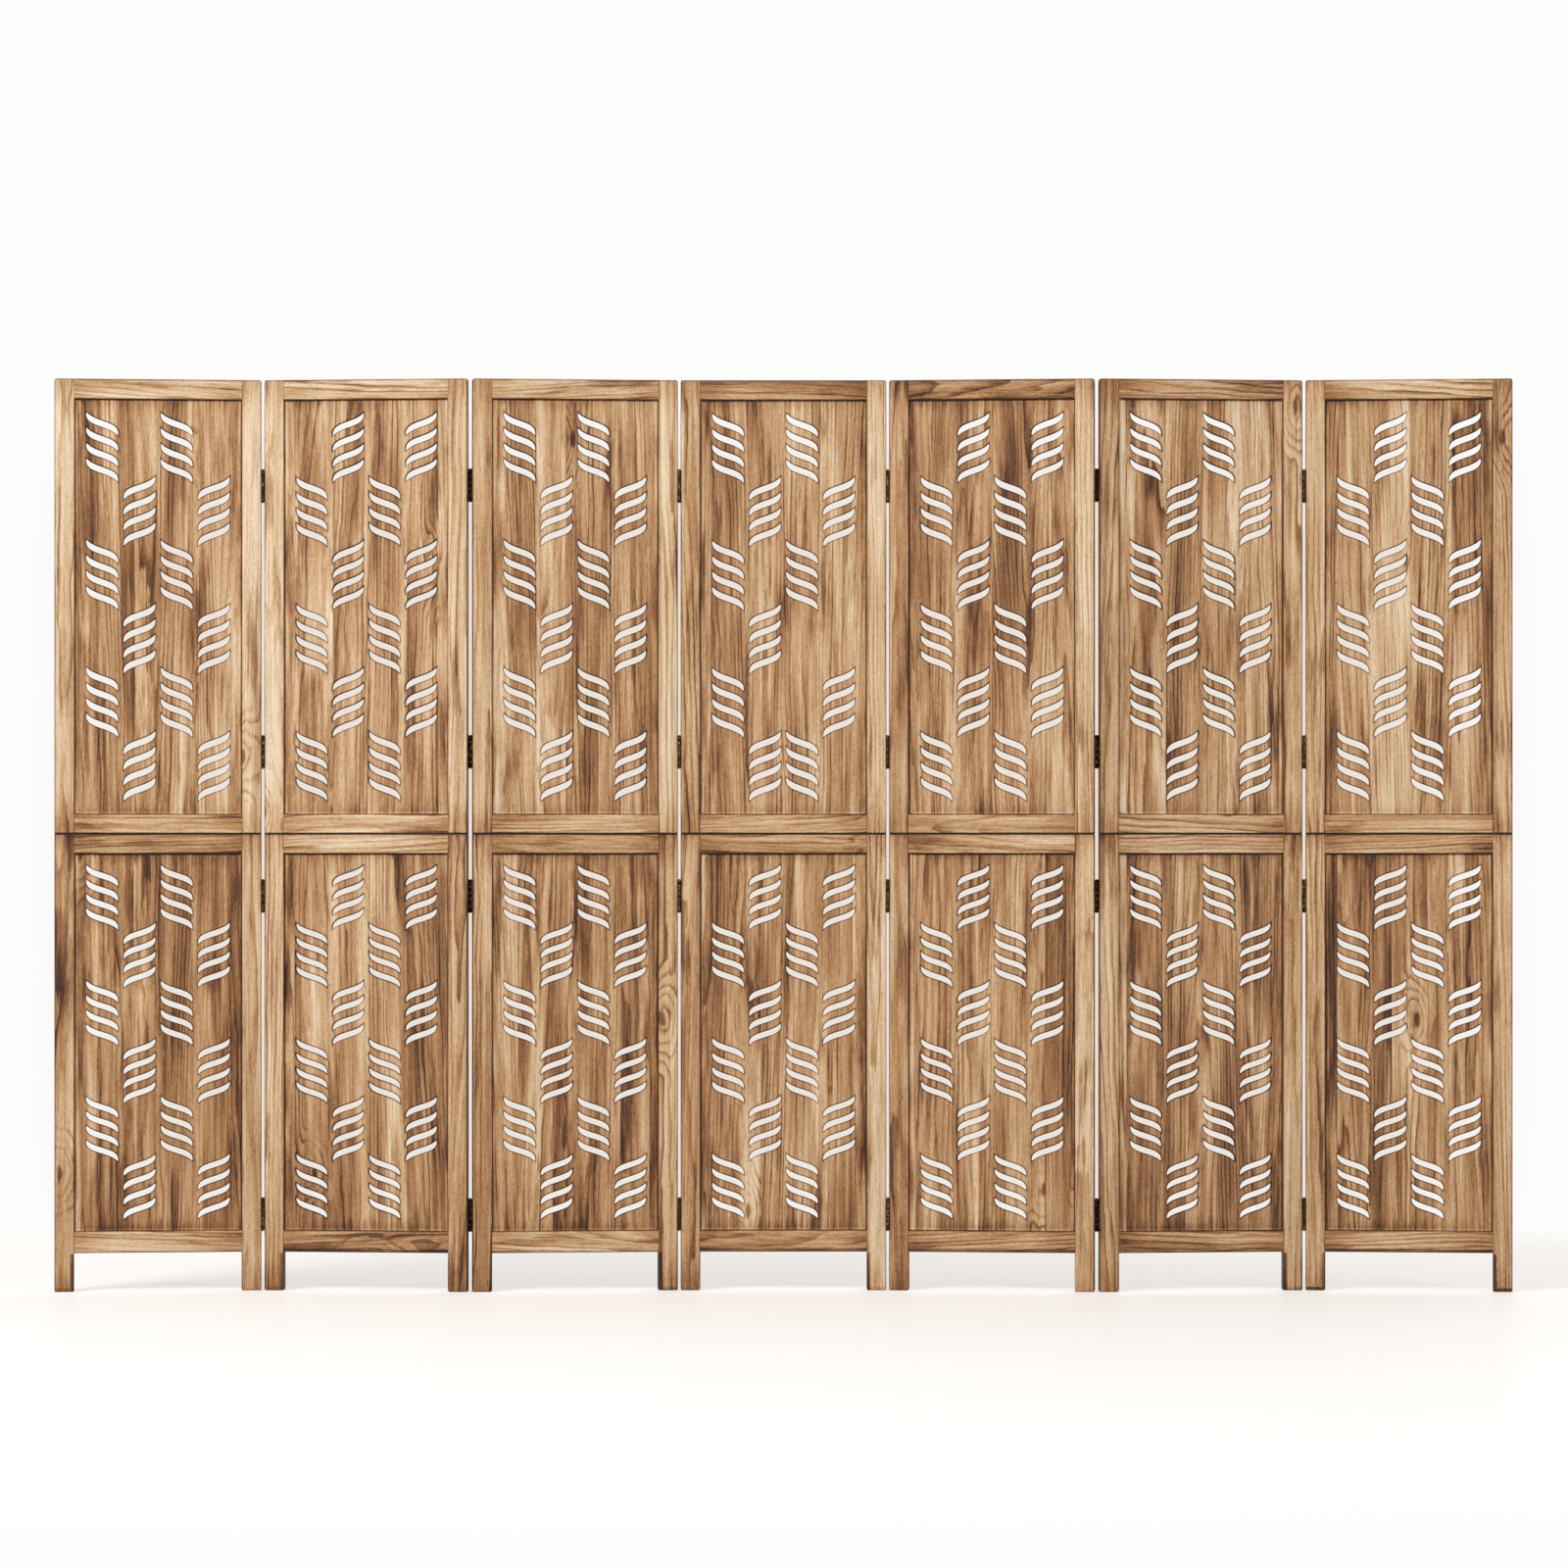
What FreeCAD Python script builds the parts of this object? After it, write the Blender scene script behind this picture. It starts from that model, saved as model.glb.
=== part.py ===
import FreeCAD, Part
import math
import os

import Sketcher

# Folding room divider: seven hinged panels. Each is an upper frame that stands on a lower
# frame with legs, and each frame holds a thin board pierced with slanted, pointed slots.
# Lengths are millimetres and angles are degrees. The divider stands on z = 0 and faces -Y,
# and the origin is the bottom centre of its box in the pose that it stands in.

DIMENSIONS = {
    # one panel, and how far each is turned in the standing pose
    "panel_width": 400,
    "panel_gap": 5,
    "pose_angle": 7,
    # frame members
    "frame_thickness": 20,
    "stile_width": 38,
    "rail_height": 38,
    "base_rail_height": 42,
    "leg_height": 75,
    "lower_height": 888,
    "upper_height": 882,
    # groove in the members, and the rails' tongues in it
    "groove_depth": 7,
    "tongue_play": 0.5,
    # pegs that stand the upper stiles in the lower ones
    "peg_width": 16,
    "peg_length": 25,
    "peg_play": 1,
    # boards
    "board_thickness": 8,
    "board_play": 1,
    # slots, in groups of four, and the plain margin round all of a board's groups
    "slot_width": 61,
    "side_margin": 23.5,
    "upper_slot_drop": 43,
    "upper_slot_pitch": 30,
    "upper_margin": 27,
    "lower_slot_drop": 39,
    "lower_slot_pitch": 28,
    "lower_margin": 24,
    # butt hinges, four at each joint, placed by their middles
    "leaf_height": 63.5,
    "leaf_width": 20,
    "leaf_thickness": 1.2,
    "leaf_clearance": 0.3,
    "barrel_diameter": 5,
    "hinge_above_floor": 148,
    "hinge_below_tier": 121,
    "hinge_above_tier": 159,
    "hinge_below_top": 206,
}

# side of the panels on which the pins of each joint lie, from the left: -1 front, 1 back
PIN_SIDES = (-1, 1, -1, -1, 1, -1)

# turn of each panel in the standing pose, from the left, in pose angles
TURNS = (1, -1, 1, 0, -1, 1, -1)
MIDDLE = TURNS.index(0)

# panels whose boards are turned back to front, which mirrors the pattern
BACK_TO_FRONT = (False, True, False, True, True, False, True)

SLOTS_IN_GROUP = 4
ROWS = 6
COLUMNS = 4
BARREL_SIDES = 12

# corners of a slot as shares of its width and drop: tip, shoulder, tip, shoulder
SLOT_SHARES = ((0, 0), (0.9, 0.62), (1, 1), (0.1, 0.38))

# the middle panel's upper board has a pattern of its own: row and column of each group
MIDDLE_GROUPS = (
    (1, 1), (1, 3), (2, 2), (2, 4), (3, 1), (3, 3),
    (4, 2), (5, 1), (5, 4), (6, 2), (6, 3),
)

# lengths that several pieces share, as formulas of the sheet's cells
OUTER = "(dim.panel_width / 2)"
INNER = "(dim.panel_width / 2 - dim.stile_width)"
HALF_FRAME = "(dim.frame_thickness / 2)"
HALF_BOARD = "(dim.board_thickness / 2)"
BASE_RAIL_TOP = "(dim.leg_height + dim.base_rail_height)"
LOWER_RAIL_FOOT = "(dim.lower_height - dim.rail_height)"
UPPER_RAIL_TOP = "(dim.lower_height + dim.rail_height)"
TOP = "(dim.lower_height + dim.upper_height)"
TOP_RAIL_FOOT = "(dim.lower_height + dim.upper_height - dim.rail_height)"
COLUMN_PITCH = f"((2 * {INNER} - 2 * dim.side_margin - dim.slot_width) / {COLUMNS - 1})"
HINGE_HEIGHTS = (
    "dim.hinge_above_floor",
    "(dim.lower_height - dim.hinge_below_tier)",
    "(dim.lower_height + dim.hinge_above_tier)",
    f"({TOP} - dim.hinge_below_top)",
)

doc = FreeCAD.newDocument("room_divider")
sheet = doc.addObject("Spreadsheet::Sheet", "dim")
for line, (alias, value) in enumerate(DIMENSIONS.items(), 1):
    sheet.set(f"A{line}", alias)
    sheet.set(f"B{line}", str(value))
    sheet.setAlias(f"B{line}", alias)
doc.recompute()


def size(alias):
    return float(sheet.get(alias))


# Sketches and features

def new_sketch(body, role, height=None):
    """A sketch on one of the body's own origin planes, raised by a height if one is given."""
    sketch = body.newObject("Sketcher::SketchObject", body.Name + "_sketch")
    planes = {feature.Role: feature for feature in body.Origin.OriginFeatures}
    sketch.AttachmentSupport = [(planes[role], "")]
    sketch.MapMode = "FlatFace"
    if height:
        sketch.setExpression("AttachmentOffset.Base.z", height)
    return sketch


def outline(sketch, corners):
    """A closed outline; each corner is a pair of formulas, measured from the origin."""
    first = sketch.GeometryCount
    count = len(corners)
    turn = 2 * math.pi / count
    start = [FreeCAD.Vector(math.cos(turn * i), math.sin(turn * i), 0) for i in range(count)]
    for i in range(count):
        sketch.addGeometry(Part.LineSegment(start[i], start[(i + 1) % count]), False)
    for i, place in enumerate(corners):
        line = first + i
        after = first + (i + 1) % count
        sketch.addConstraint(Sketcher.Constraint("Coincident", line, 2, after, 1))
        for kind, formula in zip(("DistanceX", "DistanceY"), place):
            index = sketch.addConstraint(Sketcher.Constraint(kind, -1, 1, line, 1, 1))
            sketch.setExpression(f"Constraints[{index}]", formula)


def rectangle(sketch, left, right, low, high):
    outline(sketch, ((left, low), (right, low), (right, high), (left, high)))


def feature(body, kind, sketch, length, both_ways=False, reverse=False):
    """Pad or pocket of a sketch, to one side of it or half to each side."""
    made = body.newObject("PartDesign::" + kind, f"{body.Name}_{kind.lower()}")
    made.Profile = sketch
    made.setExpression("Length", length)
    if both_ways:
        made.SideType = "Symmetric"
    made.Reversed = reverse
    return made


def repeat(body, sketch, axis, spacing, count, reverse=False):
    """A row of copies along one of the sketch's axes."""
    row = body.newObject("PartDesign::LinearPattern", body.Name + "_row")
    row.Direction = (sketch, [axis])
    row.Reversed = reverse
    row.Mode = "Spacing"
    row.setExpression("Offset", spacing)
    row.Occurrences = count
    return row


# Stiles, as the left ones; a right stile is a left one turned about the panel's middle

def make_stile(name, foot, height, groove_foot):
    body = doc.addObject("PartDesign::Body", name)
    sketch = new_sketch(body, "XY_Plane", foot)
    rectangle(sketch, f"-{OUTER}", f"-{INNER}", f"-{HALF_FRAME}", HALF_FRAME)
    feature(body, "Pad", sketch, height)
    groove = new_sketch(body, "XZ_Plane")
    top = f"{foot} + {height}" if foot else height
    rectangle(groove, f"-{INNER} - dim.groove_depth", f"-{INNER}", groove_foot, top)
    feature(body, "Pocket", groove, "dim.board_thickness", both_ways=True)
    return body


def peg_sketch(body):
    """The peg's section, in the middle of the wood between the outer face and the groove."""
    sketch = new_sketch(body, "XY_Plane", "dim.lower_height")
    middle = f"(-{OUTER} + (dim.stile_width - dim.groove_depth) / 2)"
    half = "dim.peg_width / 2"
    rectangle(sketch, f"{middle} - {half}", f"{middle} + {half}", f"-{HALF_BOARD}", HALF_BOARD)
    return sketch


def make_upper_stile():
    foot = "dim.lower_height"
    body = make_stile("upper_stile", foot, "dim.upper_height", foot)
    feature(body, "Pad", peg_sketch(body), "dim.peg_length", reverse=True)
    return body


def make_lower_stile():
    """A stile whose foot is the leg, and whose top takes the upper stile's peg."""
    body = make_stile("lower_stile", None, "dim.lower_height", "dim.leg_height")
    feature(body, "Pocket", peg_sketch(body), "dim.peg_length + dim.peg_play")
    return body


# Rails, between the stiles, with a stub tongue at each end and a groove for the board

def make_rail(name, low, high, groove_at_top):
    if groove_at_top:
        groove_low, groove_high = f"{high} - dim.groove_depth", high
        tongue_low, tongue_high = low, groove_low
    else:
        groove_low, groove_high = low, f"{low} + dim.groove_depth"
        tongue_low, tongue_high = groove_high, high
    reach = f"({INNER} + dim.groove_depth - dim.tongue_play)"
    body = doc.addObject("PartDesign::Body", name)
    sketch = new_sketch(body, "XZ_Plane")
    rectangle(sketch, f"-{INNER}", INNER, low, high)
    feature(body, "Pad", sketch, "dim.frame_thickness", both_ways=True)
    tongue = new_sketch(body, "XZ_Plane")
    rectangle(tongue, f"-{reach}", reach, tongue_low, tongue_high)
    feature(body, "Pad", tongue, "dim.board_thickness", both_ways=True)
    groove = new_sketch(body, "XZ_Plane")
    rectangle(groove, f"-{INNER}", INNER, groove_low, groove_high)
    feature(body, "Pocket", groove, "dim.board_thickness", both_ways=True)
    return body


# Boards, which stand in the lower rail's groove and have play at their top and sides

def row_pitch(tier, opening_foot, opening_top):
    """Rows of groups share out the opening's height between the margins."""
    group = f"({SLOTS_IN_GROUP - 1} * dim.{tier}_slot_pitch + dim.{tier}_slot_drop)"
    height = f"({opening_top} - {opening_foot} - 2 * dim.{tier}_margin)"
    return f"(({height} - {group}) / {ROWS - 1})"


def slot_corners(tier, opening_foot, opening_top, row, column):
    """Corners of a group's top slot; the slots slant down to the right in odd columns."""
    middle = f"{column - (COLUMNS + 1) / 2} * {COLUMN_PITCH}"
    hand = 1 if column % 2 else -1
    below = f"{row - 1} * {row_pitch(tier, opening_foot, opening_top)}"
    top = f"{opening_top} - dim.{tier}_margin - {below}"
    return [
        (
            f"{middle} + {hand * (across - 0.5)} * dim.slot_width",
            f"{top} - {down} * dim.{tier}_slot_drop",
        )
        for across, down in SLOT_SHARES
    ]


def make_board(name, tier, opening_foot, opening_top, groups, patterned):
    reach = f"({INNER} + dim.groove_depth - dim.board_play)"
    body = doc.addObject("PartDesign::Body", name)
    sketch = new_sketch(body, "XZ_Plane")
    low = f"{opening_foot} - dim.groove_depth"
    high = f"{opening_top} + dim.groove_depth - dim.board_play"
    rectangle(sketch, f"-{reach}", reach, low, high)
    feature(body, "Pad", sketch, "dim.board_thickness", both_ways=True)
    slots = new_sketch(body, "XZ_Plane")
    for row, column in groups:
        outline(slots, slot_corners(tier, opening_foot, opening_top, row, column))
    pocket = feature(body, "Pocket", slots, "dim.board_thickness", both_ways=True)
    pitches = [("V_Axis", f"dim.{tier}_slot_pitch", SLOTS_IN_GROUP, True)]
    if patterned:
        rows = f"2 * {row_pitch(tier, opening_foot, opening_top)}"
        pitches.append(("V_Axis", rows, ROWS // 2, True))
        pitches.append(("H_Axis", f"2 * {COLUMN_PITCH}", COLUMNS // 2, False))
    pattern = body.newObject("PartDesign::MultiTransform", name + "_pattern")
    pattern.Originals = [pocket]
    pattern.Transformations = [
        repeat(body, slots, axis, spacing, count, reverse)
        for axis, spacing, count, reverse in pitches
    ]
    body.Tip = pattern
    return body


# Hinge parts, half above and half below z = 0, with the pin's axis on the Z axis

def make_leaf(name, side, clearance):
    """Plate on the edge of the panel to one side of the barrel: -1 left, 1 right."""
    reach = f"(dim.barrel_diameter / 2 + {clearance})"
    beside = "(dim.panel_gap / 2 - dim.leaf_thickness)"
    start = f"sqrt({reach} ^ 2 - {beside} ^ 2)"
    plate = doc.addObject("Part::Box", name)
    plate.setExpression("Length", "dim.leaf_thickness")
    plate.setExpression("Width", f"dim.leaf_width - {start}")
    plate.setExpression("Height", "dim.leaf_height")
    edge = "-dim.panel_gap / 2" if side < 0 else beside
    plate.setExpression("Placement.Base.x", edge)
    plate.setExpression("Placement.Base.y", start)
    plate.setExpression("Placement.Base.z", "-dim.leaf_height / 2")
    return plate


def make_barrel():
    """The knuckles and their pin, closed up into one many-sided bar."""
    barrel = doc.addObject("Part::Prism", "barrel")
    barrel.Polygon = BARREL_SIDES
    barrel.setExpression("Circumradius", "dim.barrel_diameter / 2")
    barrel.setExpression("Height", "dim.leaf_height")
    barrel.setExpression("Placement.Base.z", "-dim.leaf_height / 2")
    return barrel


# Places

def turned(angle):
    return FreeCAD.Rotation(FreeCAD.Vector(0, 0, 1), angle)


def pin(edge, side):
    """A joint's pin on a panel: edge -1 left or 1 right, side -1 front or 1 back."""
    across = edge * (size("panel_width") + size("panel_gap")) / 2
    out = side * (size("frame_thickness") + size("barrel_diameter")) / 2
    return FreeCAD.Vector(across, out, 0)


def panel_places():
    """Each panel's place in the standing pose, worked outwards from the middle panel."""
    turns = [turned(turn * size("pose_angle")) for turn in TURNS]
    corners = {MIDDLE: FreeCAD.Vector(0, 0, 0)}
    for edge, order in ((-1, range(MIDDLE - 1, -1, -1)), (1, range(MIDDLE + 1, len(TURNS)))):
        for index in order:
            inner = index - edge
            side = PIN_SIDES[min(index, inner)]
            at = corners[inner] + turns[inner].multVec(pin(edge, side))
            corners[index] = at - turns[index].multVec(pin(-edge, side))
    half_width = size("panel_width") / 2
    half_frame = size("frame_thickness") / 2
    depths = [
        (corners[i] + turns[i].multVec(FreeCAD.Vector(x * half_width, y * half_frame, 0))).y
        for i in corners
        for x in (-1, 1)
        for y in (-1, 1)
    ]
    centre = FreeCAD.Vector(0, (min(depths) + max(depths)) / 2, 0)
    return [FreeCAD.Placement(corners[i] - centre, turns[i]) for i in sorted(corners)]


def copies(name, sources, place):
    """A sub-part made of one or more solids, set in its place."""
    made = doc.addObject("Part::Compound", name)
    made.Label = name
    made.Links = sources
    made.Placement = place
    return made


def hinge_parts(name, pieces, edge, side):
    """What one panel holds of its four hinges on one edge; back ones are upside down."""
    over = FreeCAD.Rotation(FreeCAD.Vector(1, 0, 0), 90 * (1 + side))
    made = []
    for number, height in enumerate(HINGE_HEIGHTS, 1):
        hinge = copies(f"{name}_{number}", pieces, FreeCAD.Placement(pin(edge, side), over))
        hinge.setExpression("Placement.Base.z", height)
        made.append(hinge)
    return made


upper_stile = make_upper_stile()
lower_stile = make_lower_stile()
stiles = [upper_stile, lower_stile]
base_rail = make_rail("base_rail_form", "dim.leg_height", BASE_RAIL_TOP, True)
below_joint_rail = make_rail("below_joint_rail", LOWER_RAIL_FOOT, "dim.lower_height", False)
above_joint_rail = make_rail("above_joint_rail", "dim.lower_height", UPPER_RAIL_TOP, True)
top_rail = make_rail("top_rail_form", TOP_RAIL_FOOT, TOP, False)
upper_opening = (UPPER_RAIL_TOP, TOP_RAIL_FOOT)
lower_opening = (BASE_RAIL_TOP, LOWER_RAIL_FOOT)
first_groups = ((1, 1), (2, 2))
upper_board = make_board("upper_board_form", "upper", *upper_opening, first_groups, True)
lower_board = make_board("lower_board_form", "lower", *lower_opening, first_groups, True)
middle_board = make_board("middle_board_form", "upper", *upper_opening, MIDDLE_GROUPS, False)
barrel_side = [make_leaf("held_leaf", -1, "0"), make_barrel()]
turning_side = [make_leaf("turning_leaf", 1, "dim.leaf_clearance")]
doc.recompute()

parts = []
half_turn = FreeCAD.Placement(FreeCAD.Vector(0, 0, 0), turned(180))
for index, place in enumerate(panel_places()):
    name = f"panel_{index + 1}"
    back = place.multiply(half_turn)
    boards_place = back if BACK_TO_FRONT[index] else place
    if index == MIDDLE:
        upper = copies(name + "_upper_board", [middle_board], place)
    else:
        upper = copies(name + "_upper_board", [upper_board], boards_place)
    hinges = []
    if index < len(TURNS) - 1:
        hinges += hinge_parts(name + "_right_hinge", barrel_side, 1, PIN_SIDES[index])
    if index > 0:
        hinges += hinge_parts(name + "_left_hinge", turning_side, -1, PIN_SIDES[index - 1])
    parts += [
        copies(name + "_left_stiles", stiles, place),
        copies(name + "_right_stiles", stiles, back),
        copies(name + "_base_rail", [base_rail], place),
        copies(name + "_middle_rails", [below_joint_rail, above_joint_rail], place),
        copies(name + "_top_rail", [top_rail], place),
        copies(name + "_lower_board", [lower_board], boards_place),
        upper,
        copies(name + "_hinges", hinges, place),
    ]
doc.recompute()

for item in doc.Objects:
    if "Invalid" in item.State or "Error" in item.State:
        raise RuntimeError(f"{item.Name} failed: {item.State}")
for item in parts:
    if item.Shape.isNull() or not item.Shape.isValid():
        raise RuntimeError(f"{item.Label} has no valid shape")

os.makedirs("parts", exist_ok=True)
for item in parts:
    item.Shape.exportStep(f"parts/{item.Label}.step")
    volume = item.Shape.Volume / 1000
    print(f"{item.Label}: {len(item.Shape.Solids)} solids, {volume:.1f} cm3")
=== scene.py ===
import math
import random

import bpy
import numpy as np
from mathutils import Matrix, Vector


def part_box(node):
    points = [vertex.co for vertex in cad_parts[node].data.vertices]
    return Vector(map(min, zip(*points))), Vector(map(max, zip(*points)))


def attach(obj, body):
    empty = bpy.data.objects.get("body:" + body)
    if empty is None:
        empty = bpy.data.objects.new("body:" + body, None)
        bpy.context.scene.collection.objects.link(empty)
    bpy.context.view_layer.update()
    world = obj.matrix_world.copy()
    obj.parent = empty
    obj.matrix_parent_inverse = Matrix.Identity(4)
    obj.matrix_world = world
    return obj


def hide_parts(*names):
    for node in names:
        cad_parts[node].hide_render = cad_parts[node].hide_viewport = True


# Folding room divider of seven hinged panels, dressed in torched light wood.
# Every wooden piece is shaped in its panel's own space, where the panel stands square with
# its middle at x = 0 and y = 0, and is then stood in its panel's place.

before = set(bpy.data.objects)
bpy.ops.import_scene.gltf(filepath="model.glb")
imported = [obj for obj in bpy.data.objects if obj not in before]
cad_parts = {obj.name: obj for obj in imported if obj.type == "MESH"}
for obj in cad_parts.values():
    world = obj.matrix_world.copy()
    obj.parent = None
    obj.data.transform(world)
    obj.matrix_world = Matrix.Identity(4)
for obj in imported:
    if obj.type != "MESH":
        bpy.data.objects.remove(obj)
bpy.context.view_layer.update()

# Sizes that the frame gives, from the middle panel, which stands square

MIDDLE_PANEL = 4
PANELS = range(1, 8)

# turn of each panel in the standing pose, from the left, in pose angles
TURNS = (1, -1, 1, 0, -1, 1, -1)
POSE_ANGLE = math.radians(7)

# side of the panels on which each joint's pins lie, from the left: -1 front, 1 back
PIN_SIDES = (-1, 1, -1, -1, 1, -1)

# panels whose boards are turned back to front, which mirrors the pattern
BACK_TO_FRONT = (2, 4, 5, 7)


def panel_place(number):
    """Where a panel stands: its base rail's middle, and its turn about the upright."""
    low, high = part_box(f"panel_{number}_base_rail")
    middle = (Vector(low) + Vector(high)) / 2
    turn = Matrix.Rotation(TURNS[number - 1] * POSE_ANGLE, 4, "Z")
    return Matrix.Translation((middle.x, middle.y, 0)) @ turn


def own_box(node):
    """A node's box in the middle panel's own space."""
    low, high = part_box(f"panel_{MIDDLE_PANEL}_{node}")
    middle = panel_place(MIDDLE_PANEL).translation
    return Vector(low) - middle, Vector(high) - middle


stile_low, stile_high = own_box("left_stiles")
base_low, base_high = own_box("base_rail")
middle_low, middle_high = own_box("middle_rails")
top_low = own_box("top_rail")[0]
lower_board_box = own_box("lower_board")
upper_board_box = own_box("upper_board")

OUTER = -stile_low.x
INNER = -stile_high.x
HALF_FRAME = stile_high.y
HALF_BOARD = lower_board_box[1].y
BOARD_LEFT, BOARD_RIGHT = (corner.x for corner in lower_board_box)
TOP = stile_high.z
LEG = base_low.z
TIER = (middle_low.z + middle_high.z) / 2
LOWER_OPENING = (base_high.z, middle_low.z)
UPPER_OPENING = (middle_high.z, top_low.z)

# Slots, as in the solids: groups of four, in rows and columns

SLOT_WIDTH = 0.061
SIDE_MARGIN = 0.0235
SLOTS_IN_GROUP = 4
ROWS = 6
COLUMNS = 4
UPPER_SLOTS = {"drop": 0.043, "pitch": 0.030, "margin": 0.027}
LOWER_SLOTS = {"drop": 0.039, "pitch": 0.028, "margin": 0.024}

# handles of a slot's curved edge, as shares of its width and drop from its upper tip
LEAVING_SHARES = (0.32, 0.47)
MEETING_SHARES = (1.08, 0.34)

# the edge is drawn in two lengths, so that its tight end gets the shorter steps
SLOT_STEPS = 5
TIGHT_FROM = 0.60
TIP_REACH = 0.0010

# the burnt rim round each slot: how far it spreads over the face, and how far it sinks
RIM_WIDTH = 0.0030
RIM_SINK = 0.0005

# how dark a slot's rim is along its lower edge, beside its upper edge, which gets painted shade
# on top of its char
UNDER_RIM = 0.72

# the middle panel's upper board has a pattern of its own: row and column of each group
MIDDLE_GROUPS = (
    (1, 1), (1, 3), (2, 2), (2, 4), (3, 1), (3, 3),
    (4, 2), (5, 1), (5, 4), (6, 2), (6, 3),
)

# Eased edges, and how close two places or directions have to be to count as one

FOOT_ROUND = 0.0035
CORNER_ROUND = 0.004
CORNER_STEPS = 3
OUTER_ARRIS = 0.0013
INNER_ARRIS = 0.0007
ARRIS_STEPS = 2
SMOOTH_ANGLE = math.radians(40)
NEAR = 0.00005
FACING = 0.9

# Hinges

LEAF_THICKNESS = 0.0012
LEAF_WIDTH = 0.020
LEAF_HEIGHT = 0.0635
LEAF_CORNER = 0.0022
LEAF_CORNER_STEPS = 4
PANEL_GAP = 0.005
BARREL_RADIUS = 0.0025
ROUND_SIDES = 24
KNUCKLES = 5
KNUCKLE_PITCH = LEAF_HEIGHT / KNUCKLES
KNUCKLE_GAP = 0.0003
KNUCKLE_ARRIS = 0.0003
NECK_SHARE = 0.8
PIN_HEAD_RADIUS = BARREL_RADIUS * 0.9
PIN_HEAD_FLATNESS = 0.55

# how far each of a leaf's screws stands from its middle line, and how far apart they are
SCREW_OFFSETS = (-0.0022, 0.0028, -0.0022)
SCREW_PITCH = LEAF_HEIGHT / 3.2
SCREW_RADIUS = 0.0024
SCREW_HEIGHT = 0.0009
SCREW_RIM = 0.0003
SCREW_DOME = 0.0002
CROSS_SIZE = (0.0028, 0.00055, 0.0009)
CROSS_LEVEL = 0.00055

# how far a screw head sinks into its leaf, so that two leaves can close on each other
SCREW_SINK = 0.00045

# Torched wood: where each marking starts and ends, in metres

# the dark late wood of a year's ring, and the ring's end, as shares of its width
LATE_WOOD = (0.35, 0.92)
RING_END = (0.94, 1.0)
RING_SHARPNESS = 1.6
RING_UNEVENNESS = 1.6
RING_WANDER = 0.016
FAINTEST_RING = 0.15

# knots: places a metre across and along, the share left bare, and sizes in places
KNOT_PLACES = (7.0, 2.6)
NO_KNOT = 0.91
KNOT_CORE = (0.022, 0.055)
KNOT_REACH = 0.32
KNOT_SWELL = 4.5

# how fine each marking is: swells a metre across the grain, both ways, and along it
RING_DRIFT = (12, 12, 4)
RING_BENDS = (60, 60, 3)
RING_WEAR = (28, 28, 3.5)
BANDS = (42, 42, 1.3)
KNOT_BENDS = (60, 60, 25)
STREAKS = (300, 300, 3.5)
PORES = (1000, 1000, 55)
FLECKS = (420, 420, 150)
WIDE_CLOUDS = (25, 25, 2.4)
NARROW_CLOUDS = (90, 90, 3.6)
SMOKE_PATCHES = (24, 24, 3.6)
FLAME_LICKS = (160, 160, 7)
RAGGED_SHADE = (110, 110, 12)
RAGGED_CHAR = (150, 150, 60)
BROWN_LICKS = (70, 70, 9)

# round a board: a dark line of char and painted shadow, a pale strip of unburnt wood and painted
# highlight, and a soft shade of painted shade and torching
SIDE_LINE = (0.0010, 0.0030)
HEAD_LINE = (0.0016, 0.0046)
FOOT_LINE = (0.0005, 0.0018)
SIDE_STRIP = (0.0050, 0.0095)
FOOT_STRIP = (0.0030, 0.0052)
BORDER_SHADE = 0.034

# on a member: burnt bands, dark arrises, the tier joint's line and the shade below it as painted
# shadow, brown ends
CHAR_BAND = (0.0055, 0.0085)
ARRIS_LINE = (0.0008, 0.0026)
JOINT_LINE = (0.0014, 0.0030)
JOINT_SHADE = 0.012
END_SHADE = 0.075

# Colours


def linear(red, green, blue):
    """A colour as a screen shows it, 0 to 255, turned into light."""
    shares = [value / 255 for value in (red, green, blue)]
    light = [s / 12.92 if s <= 0.04045 else ((s + 0.055) / 1.055) ** 2.4 for s in shares]
    return (*light, 1)


# from charred through brown to the pale wood that the flame missed
WOOD_TONES = (
    (0.00, linear(40, 22, 11)),
    (0.20, linear(97, 59, 31)),
    (0.40, linear(145, 100, 62)),
    (0.60, linear(186, 142, 98)),
    (0.80, linear(215, 182, 143)),
    (1.00, linear(238, 216, 187)),
)
SMOKE = linear(98, 58, 36)
SMOKE_SHARE = 0.25
WOOD_ROUGHNESS = (0.50, 0.62)
WOOD_GLEAM = 0.3

# Shader nodes, written as sums


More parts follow.
